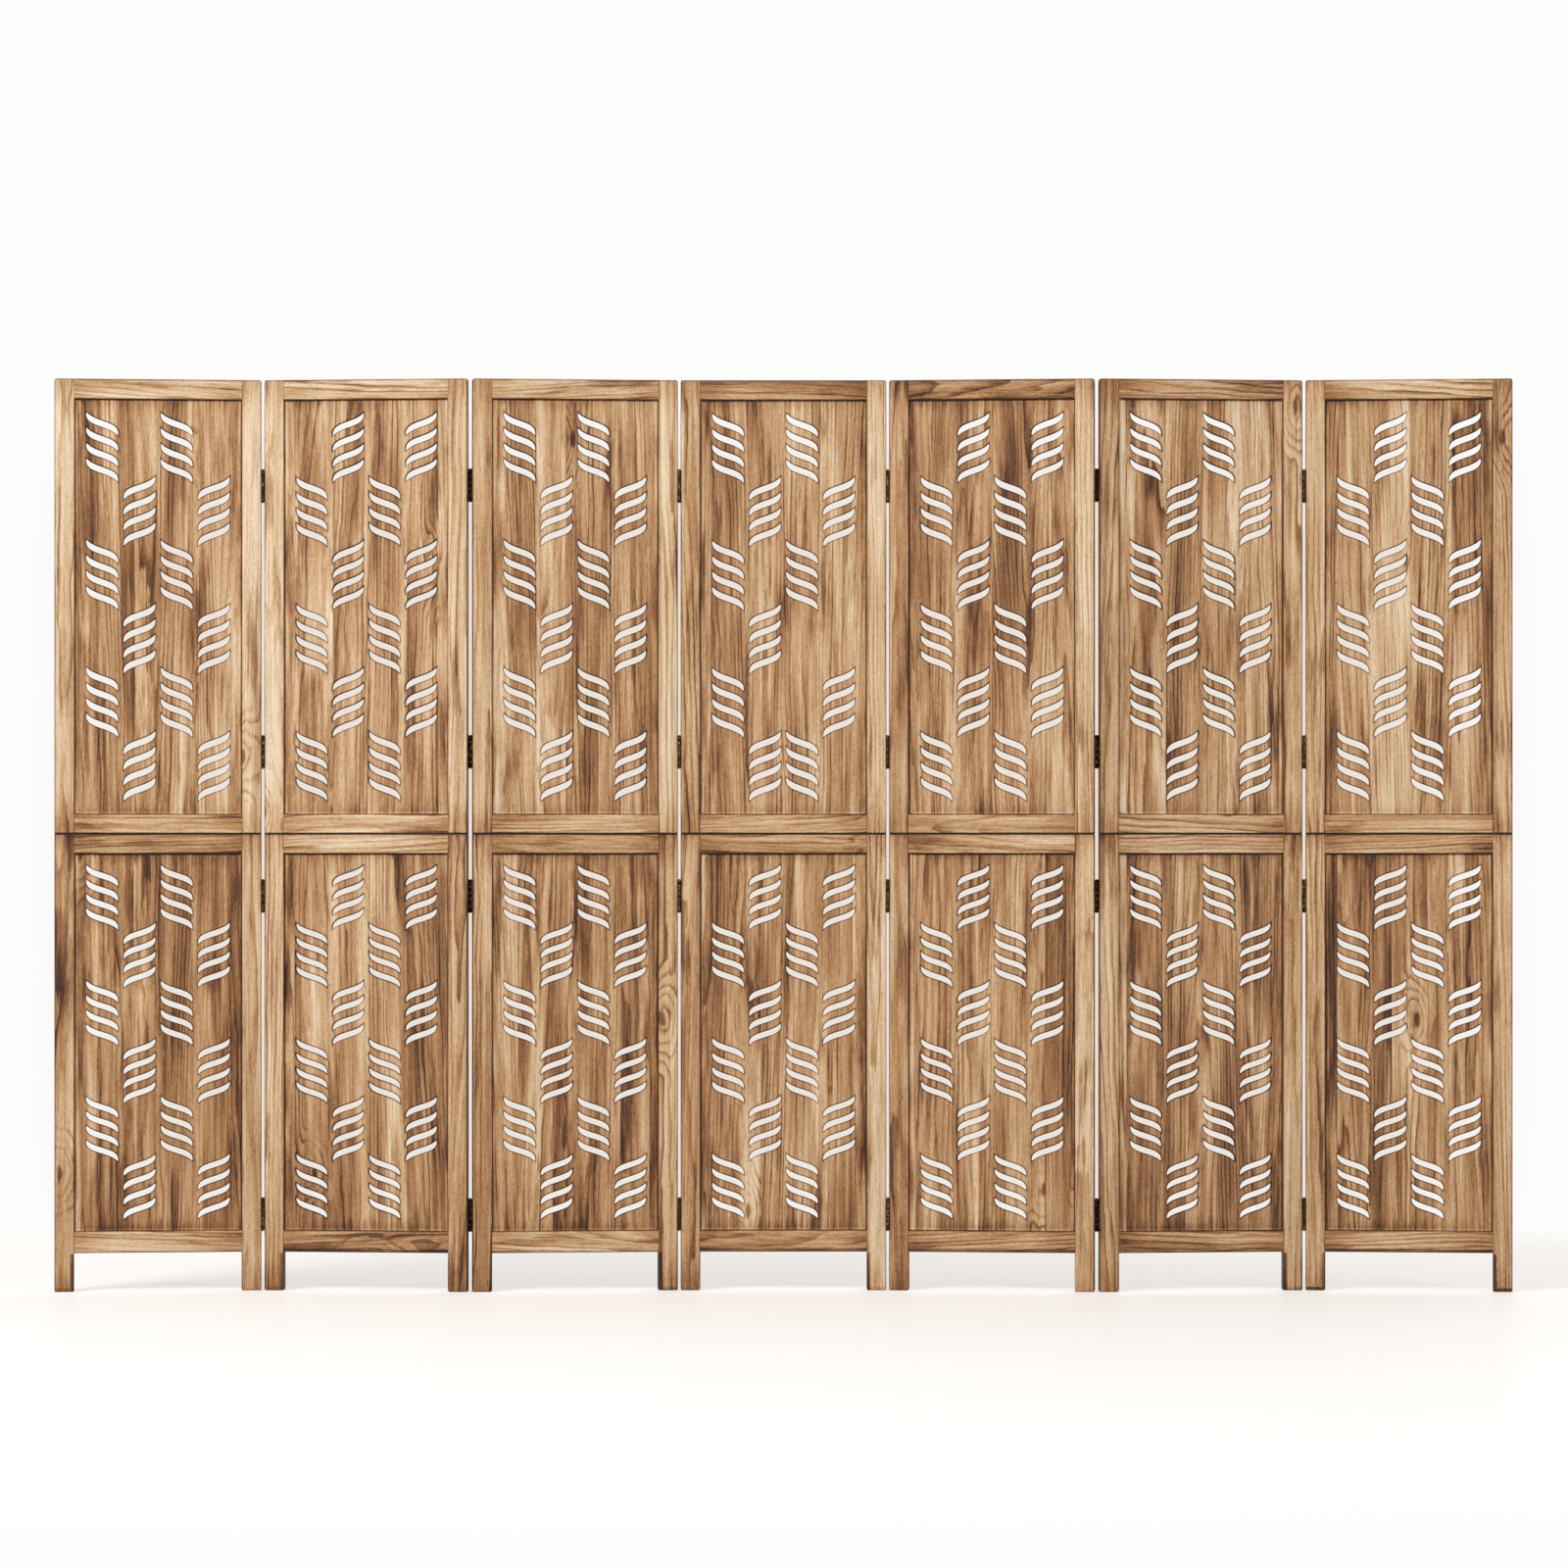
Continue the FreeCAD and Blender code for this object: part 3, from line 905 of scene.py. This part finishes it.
ALL_GROUPS = [
    (row, column)
    for row in range(1, ROWS + 1)
    for column in range(1, COLUMNS + 1)
    if row % 2 == column % 2
]
upper_board = make_board("upper_board", upper_board_box, UPPER_OPENING, UPPER_SLOTS, ALL_GROUPS)
lower_board = make_board("lower_board", lower_board_box, LOWER_OPENING, LOWER_SLOTS, ALL_GROUPS)
middle_board = make_board(
    "middle_board", upper_board_box, UPPER_OPENING, UPPER_SLOTS, MIDDLE_GROUPS
)

# Grain: each member's own place in the log it was sawn from

# how far a face lies from its log's heart, the log's length, and how askew it was sawn
HEART_REACH = (0.025, 0.090)
LOG_LENGTH = 40
STILE_TILT = 1.6
RAIL_TILT = 3.5
STAVE_TILT = 1.8


def log_place(points, along, middle, chance, tilt_limit):
    """Points of a member as seen from its log's heart, which runs along z."""
    if along == "x":
        points = points[:, [2, 1, 0]]
    local = points - np.array([middle, 0.0, 0.0])
    tilt = Matrix.Rotation(math.radians(chance.uniform(-tilt_limit, tilt_limit)), 3, "X")
    tilt = Matrix.Rotation(math.radians(chance.uniform(-tilt_limit, tilt_limit)), 3, "Y") @ tilt
    turned = local @ np.array(tilt).T
    angle = chance.uniform(0, 2 * math.pi)
    reach = chance.uniform(*HEART_REACH)
    level = chance.uniform(0, LOG_LENGTH)
    return turned + np.array([reach * math.cos(angle), reach * math.sin(angle), level])


def read(items, key, width=1, kind=np.float32):
    """A value or a row of them for each point, corner or face of a mesh."""
    values = np.empty(len(items) * width, dtype=kind)
    items.foreach_get(key, values)
    return values.reshape(-1, width) if width > 1 else values


def store(mesh, name, values, domain="POINT"):
    """Keeps a value or a row of three for each point of a mesh, or corner of its faces."""
    values = np.asarray(values, dtype=np.float32)
    kind, key = ("FLOAT_VECTOR", "vector") if values.ndim == 2 else ("FLOAT", "value")
    mesh.attributes.new(name, kind, domain).data.foreach_set(key, values.ravel())


def lay_member(piece, along, middle, tone, scorched, seed, tilt_limit):
    """Gives a frame member its grain, its tone and its burnt bands."""
    mesh = piece.data
    points = read(mesh.vertices, "co", 3)
    store(mesh, "grain", log_place(points, along, middle, random.Random(seed), tilt_limit))
    store(mesh, "tone", np.full(len(points), tone))
    x, z = points[:, 0], points[:, 2]
    nought, one = np.zeros(len(x)), np.ones(len(x))
    sides, length = (one, one), x
    if along == "z":
        sides, length = (x - x.min(), x.max() - x), z
    ends = (length - length.min(), length.max() - length, nought)
    store(mesh, "ends", np.stack(ends, axis=1))
    store(mesh, "edges", np.stack([z - z.min(), *sides], axis=1))
    store(mesh, "head", z.max() - z)
    store(mesh, "from_joint", np.abs(z - TIER))
    store(mesh, "scorched", np.tile(scorched, (len(points), 1)))


def copy_of(master, name):
    return add_to_scene(name, master.data.copy())


def smooth_by_angle(piece):
    only(piece)
    bpy.ops.object.shade_smooth_by_angle(angle=SMOOTH_ANGLE)


def stand(piece, number, node):
    """Stands a finished piece in its panel's place and on its body."""
    piece.data.transform(panel_place(number))
    piece.data.update()
    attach(piece, f"panel_{number}")
    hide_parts(node)


# each member of a panel: its name, its master, its node, and the way it runs
MEMBERS = (
    ("left_lower_stile", left_lower, "left_stiles", "z"),
    ("left_upper_stile", left_upper, "left_stiles", "z"),
    ("right_lower_stile", left_lower, "right_stiles", "z"),
    ("right_upper_stile", left_upper, "right_stiles", "z"),
    ("base_rail", base_rail, "base_rail", "x"),
    ("rail_below_tier_joint", below_tier, "middle_rails", "x"),
    ("rail_above_tier_joint", above_tier, "middle_rails", "x"),
    ("top_rail", top_rail, "top_rail", "x"),
)

# the panels on which each member stayed pale in the flame, or went dark
PALE_MEMBERS = {
    "left_upper_stile": (1, 2), "right_upper_stile": (1, 2, 3, 4, 5),
    "right_lower_stile": (4, 5), "base_rail": (3,), "rail_below_tier_joint": (2, 6),
    "rail_above_tier_joint": (2,), "top_rail": (1, 2, 3, 7),
}
DARK_MEMBERS = {
    "left_upper_stile": (4, 5, 6), "left_lower_stile": (1, 3, 4, 5),
    "right_lower_stile": (2,), "base_rail": (2, 4, 5, 6), "rail_below_tier_joint": (1, 3),
    "top_rail": (4, 5, 6),
}
PALE_TONE = 0.85
MIDDLE_TONE = 0.76
DARK_TONE = 0.67
TONE_SPREAD = 0.025

# burnt bands of each member, by panel: below, left and right
SCORCHED = {
    "left_lower_stile": {1: (0.3, 0, 0.9), 2: (0.3, 0, 0.8), 7: (1.0, 0, 0.7)},
    "right_lower_stile": {3: (0.3, 0.9, 0), 4: (0.3, 0.6, 0), 6: (0.4, 1.0, 0), 7: (1.0, 1.0, 0)},
    "base_rail": {2: (0.8, 0, 0), 4: (0.8, 0, 0), 5: (0.7, 0, 0), 7: (1.0, 0, 0)},
}
HALF_TURN = Matrix.Rotation(math.pi, 4, "Z")


def member_tone(number, name, chance):
    tone = MIDDLE_TONE
    if number in PALE_MEMBERS.get(name, ()):
        tone = PALE_TONE
    elif number in DARK_MEMBERS.get(name, ()):
        tone = DARK_TONE
    return tone + chance.uniform(-TONE_SPREAD, TONE_SPREAD)


def make_frame(number):
    for index, (name, master, node, along) in enumerate(MEMBERS, start=1):
        seed = 1000 * number + index
        piece = copy_of(master, f"panel_{number}_{name}")
        tone = member_tone(number, name, random.Random(seed))
        below, left, right = SCORCHED.get(name, {}).get(number, (0, 0, 0))
        turned = name.startswith("right")
        scorched = (below, right, left) if turned else (below, left, right)
        middle, tilt = -(OUTER + INNER) / 2, STILE_TILT
        if along == "x":
            heights = [corner.co.z for corner in master.data.vertices]
            middle, tilt = (min(heights) + max(heights)) / 2, RAIL_TILT
        lay_member(piece, along, middle, tone, scorched, seed, tilt)
        if turned:
            piece.data.transform(HALF_TURN)
        smooth_by_angle(piece)
        stand(piece, number, f"panel_{number}_{node}")


# Boards are glued up from upright staves, each from a log of its own

STAVE_WIDTH = 0.062
STAVE_CHANCE = 0.022
STAVE_TONE_SPREAD = 0.11

# tone of a tier's boards, and the seed of their staves
UPPER_LOOK = (0.68, 73)
LOWER_LOOK = (0.61, 66)

# the first and the last stave of a board are cut down, to no less than these shares
FIRST_STAVE = 0.3
LAST_STAVE = 1 / 3


def stave_seams(chance):
    seams = []
    across = BOARD_LEFT + chance.uniform(FIRST_STAVE, 1) * STAVE_WIDTH
    while across < BOARD_RIGHT - STAVE_WIDTH * LAST_STAVE:
        seams.append(across)
        across += STAVE_WIDTH + chance.uniform(-STAVE_CHANCE, STAVE_CHANCE)
    return seams


def lay_board(piece, seams, tone, opening, chance):
    """Gives each stave its grain and tone, and each point its reach and its rim."""
    mesh = piece.data
    points = read(mesh.vertices, "co", 3)
    corners = read(mesh.loops, "vertex_index", kind=np.int32)
    across = read(mesh.polygons, "center", 3)[:, 0]
    counts = read(mesh.polygons, "loop_total", kind=np.int32)
    stave = np.repeat(np.searchsorted(seams, across), counts)
    grain = np.zeros((len(corners), 3))
    tones = np.zeros(len(corners))
    edges = [BOARD_LEFT, *seams, BOARD_RIGHT]
    for index in range(len(seams) + 1):
        mine = stave == index
        middle = (edges[index] + edges[index + 1]) / 2
        grain[mine] = log_place(points[corners[mine]], "z", middle, chance, STAVE_TILT)
        tones[mine] = tone + chance.uniform(-STAVE_TONE_SPREAD, STAVE_TONE_SPREAD)
    store(mesh, "grain", grain, "CORNER")
    store(mesh, "tone", tones, "CORNER")
    foot, head = opening
    x, y, z = points.T
    store(mesh, "reach", np.stack([x, z - foot, head - z], axis=1))
    # rims facing down, along a slot's upper edge, get painted shade on top of their char; rims
    # facing up are lighter
    burnt = np.where(read(mesh.vertices, "normal", 3)[:, 2] > 0, UNDER_RIM, 1.0)
    sunk = np.clip((HALF_BOARD - np.abs(y)) / RIM_SINK, 0, 1) * burnt
    at_border = (np.abs(x) > INNER) | (z < foot) | (z > head)
    store(mesh, "rim", np.where(at_border, 0, sunk))


def make_boards(number):
    upper_master = middle_board if number == MIDDLE_PANEL else upper_board
    tiers = (
        ("upper", upper_master, UPPER_OPENING, *UPPER_LOOK),
        ("lower", lower_board, LOWER_OPENING, *LOWER_LOOK),
    )
    for tier, master, opening, tone, seed in tiers:
        chance = random.Random(50 * number + seed)
        piece = copy_of(master, f"panel_{number}_{tier}_pierced_board")
        if number in BACK_TO_FRONT and master is not middle_board:
            piece.data.transform(HALF_TURN)
        seams = stave_seams(chance)
        for across in seams:
            cut_along(piece, (across, 0, 0), (1, 0, 0))
        lay_board(piece, seams, tone, opening, chance)
        stand(piece, number, f"panel_{number}_{tier}_board")


for number in PANELS:
    make_frame(number)
    make_boards(number)

# Butt hinges, shaped about their pin, which runs along z


def knuckle_levels(odd):
    """Foot and head of each knuckle that one leaf carries: the odd or the even ones."""
    for index in range(KNUCKLES):
        if (index % 2 == 0) == odd:
            foot = -LEAF_HEIGHT / 2 + index * KNUCKLE_PITCH
            yield foot + KNUCKLE_GAP / 2, foot + KNUCKLE_PITCH - KNUCKLE_GAP / 2


def make_leaf(side, odd):
    """A leaf on one side of the pin, -1 left or 1 right, with its knuckles."""
    start = BARREL_RADIUS + KNUCKLE_GAP
    outer = side * PANEL_GAP / 2
    inner = outer - side * LEAF_THICKNESS
    size = (LEAF_THICKNESS, LEAF_WIDTH - start, LEAF_HEIGHT)
    leaf = block(size, ((outer + inner) / 2, (start + LEAF_WIDTH) / 2, 0))
    for index in range(1, KNUCKLES):
        level = -LEAF_HEIGHT / 2 + index * KNUCKLE_PITCH
        for edge in (level - KNUCKLE_GAP / 2, level + KNUCKLE_GAP / 2):
            cut_along(leaf, (0, 0, edge), (0, 0, 1))
    levels = list(knuckle_levels(odd))

    def under_knuckle(middle, normal):
        beside = any(foot < middle.z < head for foot, head in levels)
        return normal.y < -FACING and beside

    def at_corner(first, last):
        at_end = close(abs(first.z), LEAF_HEIGHT / 2) and close(first.z, last.z)
        return at_end and close(first.y, LEAF_WIDTH) and close(last.y, LEAF_WIDTH)

    pick_faces(leaf, under_knuckle)
    neck = (0, -start * NECK_SHARE, 0)
    bpy.ops.mesh.extrude_region_move(TRANSFORM_OT_translate={"value": neck})
    finish_edit()
    ease(leaf, LEAF_CORNER, LEAF_CORNER_STEPS, at_corner)
    leaf.data.materials.append(hinge_bronze)
    parts = [leaf]
    for foot, head in levels:
        knuckle = cylinder(BARREL_RADIUS, head - foot, (0, 0, (foot + head) / 2))
        ease(knuckle, KNUCKLE_ARRIS, ARRIS_STEPS, lambda first, last: close(first.z, last.z))
        knuckle.data.materials.append(hinge_bronze)
        parts.append(knuckle)
    for index, offset in enumerate(SCREW_OFFSETS):
        across = (start + LEAF_WIDTH) / 2 + offset
        parts.append(make_screw(side, inner, across, (index - 1) * SCREW_PITCH))
    if odd:
        parts += [make_pin_head(-1), make_pin_head(1)]
    return join(parts)


def make_screw(side, face, across, height):
    """A countersunk head, set in the leaf with a cross cut into it."""
    head = cylinder(SCREW_RADIUS, SCREW_HEIGHT, (0, 0, 0))
    pick_faces(head, lambda middle, normal: normal.z > FACING)
    bpy.ops.mesh.inset(thickness=SCREW_RIM)
    bpy.ops.transform.translate(value=(0, 0, SCREW_DOME))
    finish_edit()
    for turn in (0, 90):
        cut = block(CROSS_SIZE, (0, 0, CROSS_LEVEL), turn)
        only(head)
        recess = head.modifiers.new("recess", "BOOLEAN")
        recess.object = cut
        recess.operation = "DIFFERENCE"
        recess.solver = "EXACT"
        bpy.ops.object.modifier_apply(modifier=recess.name)
        bpy.data.objects.remove(cut)
    head.data.materials.append(screw_metal)
    turn = Matrix.Rotation(math.radians(-90 * side), 4, "Y")
    sunk = face + side * SCREW_SINK
    head.data.transform(Matrix.Translation((sunk, across, height)) @ turn)
    return head


def make_pin_head(end):
    """The button on one end of the pin, -1 below or 1 above."""
    deselect()
    bpy.ops.mesh.primitive_uv_sphere_add(
        segments=ROUND_SIDES, ring_count=ROUND_SIDES // 2, radius=PIN_HEAD_RADIUS
    )
    active().scale.z = PIN_HEAD_FLATNESS
    active().location.z = end * LEAF_HEIGHT / 2
    button = apply_place()
    button.data.materials.append(hinge_bronze)
    return button


held_leaf = make_leaf(-1, True)
turning_leaf = make_leaf(1, False)


def hinge_heights():
    """The middle of each hinge, from the ends of the first panel's leaves."""
    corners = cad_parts["panel_1_hinges"].data.vertices
    levels = sorted({round(corner.co.z, 4) for corner in corners})
    return [foot + LEAF_HEIGHT / 2 for foot in levels[0::2]]


def make_hinges(number, edge, master):
    """The four hinge halves on one edge of a panel, -1 left or 1 right."""
    joint = number - 1 if edge > 0 else number - 2
    side = PIN_SIDES[joint]
    over = Matrix.Rotation(math.radians(90 * (1 + side)), 4, "X")
    across = edge * (OUTER + PANEL_GAP / 2)
    out = side * (HALF_FRAME + BARREL_RADIUS)
    halves = []
    for height in hinge_heights():
        half = copy_of(master, "hinge_half")
        half.data.transform(Matrix.Translation((across, out, height)) @ over)
        halves.append(half)
    piece = join(halves)
    piece.name = f"panel_{number}_{'left' if edge < 0 else 'right'}_edge_hinges"
    smooth_by_angle(piece)
    stand(piece, number, f"panel_{number}_hinges")


for number in PANELS:
    if number < PANELS[-1]:
        make_hinges(number, 1, held_leaf)
    if number > PANELS[0]:
        make_hinges(number, -1, turning_leaf)

for master in (
    left_lower, left_upper, base_rail, below_tier, above_tier, top_rail,
    upper_board, lower_board, middle_board, held_leaf, turning_leaf,
):
    bpy.data.objects.remove(master)

# Studio: floor, backdrop, lamps and camera

FLOOR_SIZE = 60
FLOOR_COLOUR = (0.83, 0.81, 0.785, 1)
FLOOR_GLOSS = {"Color": (1, 1, 1, 1), "Roughness": 0.22}
GLOSS_SHARE = 0.05
FLOOR_LIFT = 0.335

# where the floor gives way to the backdrop: from the middle, and behind the screen
FLOOR_END = (1.7, 4.5)
BACK_END = (1.2, 2.1)

# the backdrop is white, and straight behind the screen softly shaded, as slopes from level
ALL_ROUND_LIGHT = 0.50
OPEN_WHITE = linear(254, 254, 253)
SHADED_WHITE = linear(237, 228, 218)
SHADE_SIDES = (0.094, 0.128)
SHADE_FOOT = (-0.080, -0.046)
SHADE_TOP = (0.044, 0.081)

# place, width and height, and power of each lamp
LAMPS = (
    ("key", (-4.5, -5.5, 4.6), (2.6, 2.6), 275),
    ("fill", (5.5, -6.5, 2.2), (3.5, 3.0), 95),
    ("back_fill", (2.5, 6.5, 4.0), (4.0, 3.0), 130),
)

# the photo's framing
CAMERA_AWAY = 12.0
CAMERA_ASIDE = 0.001
PHOTO_SIZE = 1600
PIXELS_PER_METRE = 525.2
HORIZON_PIXEL = 852.3
SENSOR = 36.0


def make_floor():
    """A pale floor that keeps the screen's shadow and gives way to the backdrop."""
    deselect()
    bpy.ops.mesh.primitive_plane_add(size=FLOOR_SIZE, location=(0, 0, 0))
    floor = active()
    floor.name = "studio_floor"
    material, sheet, shader = new_material("studio_floor")
    sheet.tree.nodes.remove(shader)
    place = sheet.node("ShaderNodeTexCoord", {}, "Object")
    away = sheet.smooth(sheet.length(place), *FLOOR_END)
    behind = sheet.smooth(sheet.split(place)[1], *BACK_END)
    far = sheet.math("MAXIMUM", away, behind)
    matt = sheet.node("ShaderNodeBsdfDiffuse", {"Color": FLOOR_COLOUR})
    gloss = sheet.node("ShaderNodeBsdfGlossy", FLOOR_GLOSS)
    near = sheet.node("ShaderNodeMixShader", {0: GLOSS_SHARE, 1: matt, 2: gloss})
    seen = sheet.seen_by("Camera", "Glossy")
    lift = sheet.math("MULTIPLY", seen, FLOOR_LIFT)
    lift = sheet.node("ShaderNodeEmission", {"Strength": lift})
    near = sheet.node("ShaderNodeAddShader", {0: near, 1: lift})
    clear = sheet.node("ShaderNodeBsdfTransparent", {})
    share = sheet.math("MULTIPLY", seen, far)
    both = sheet.node("ShaderNodeMixShader", {0: share, 1: near, 2: clear})
    sheet.fill(sheet.tree.nodes["Material Output"].inputs, {"Surface": both})
    floor.data.materials.append(material)


def make_world():
    """White all round, and softly shaded straight behind the screen."""
    world = bpy.data.worlds.new("studio_white")
    world.use_nodes = True
    bpy.context.scene.world = world
    sheet = Sheet(world.node_tree)
    seen = sheet.seen_by("Camera", "Glossy", "Transmission")
    aside, ahead, up = sheet.split(sheet.node("ShaderNodeTexCoord", {}, "Generated"))
    side = sheet.math("ABSOLUTE", sheet.math("DIVIDE", aside, ahead))
    rise = sheet.math("DIVIDE", up, ahead)
    shade = sheet.math(
        "MULTIPLY", sheet.fade(side, *SHADE_SIDES), sheet.math("GREATER_THAN", ahead, 0),
        sheet.smooth(rise, *SHADE_FOOT), sheet.fade(rise, *SHADE_TOP), seen,
    )
    sheet.fill(world.node_tree.nodes["Background"].inputs, {
        "Color": sheet.mix(shade, OPEN_WHITE, SHADED_WHITE),
        "Strength": sheet.smooth(seen, 0.0, 1.0, ALL_ROUND_LIGHT, 1.0),
    })


def make_lamp(name, place, size, power):
    """A soft box that faces the middle of the screen."""
    lamp = bpy.data.lights.new(name, "AREA")
    lamp.shape = "RECTANGLE"
    lamp.size, lamp.size_y = size
    lamp.energy = power
    made = add_to_scene(name, lamp)
    made.location = place
    aim = Vector((0, 0, TIER)) - Vector(place)
    made.rotation_euler = aim.to_track_quat("-Z", "Y").to_euler()


def make_camera():
    """A long lens at half the screen's height, level, with the photo's framing."""
    lens = bpy.data.cameras.new("camera")
    lens.sensor_width = SENSOR
    lens.lens = SENSOR * PIXELS_PER_METRE * CAMERA_AWAY / PHOTO_SIZE
    lens.shift_y = (HORIZON_PIXEL - PHOTO_SIZE / 2) / PHOTO_SIZE
    camera = add_to_scene("camera", lens)
    camera.location = (CAMERA_ASIDE, -CAMERA_AWAY, TOP / 2)
    camera.rotation_euler = (math.radians(90), 0, 0)
    bpy.context.scene.camera = camera


make_floor()
make_world()
for lamp in LAMPS:
    make_lamp(*lamp)
make_camera()
bpy.context.scene.view_settings.view_transform = "Standard"
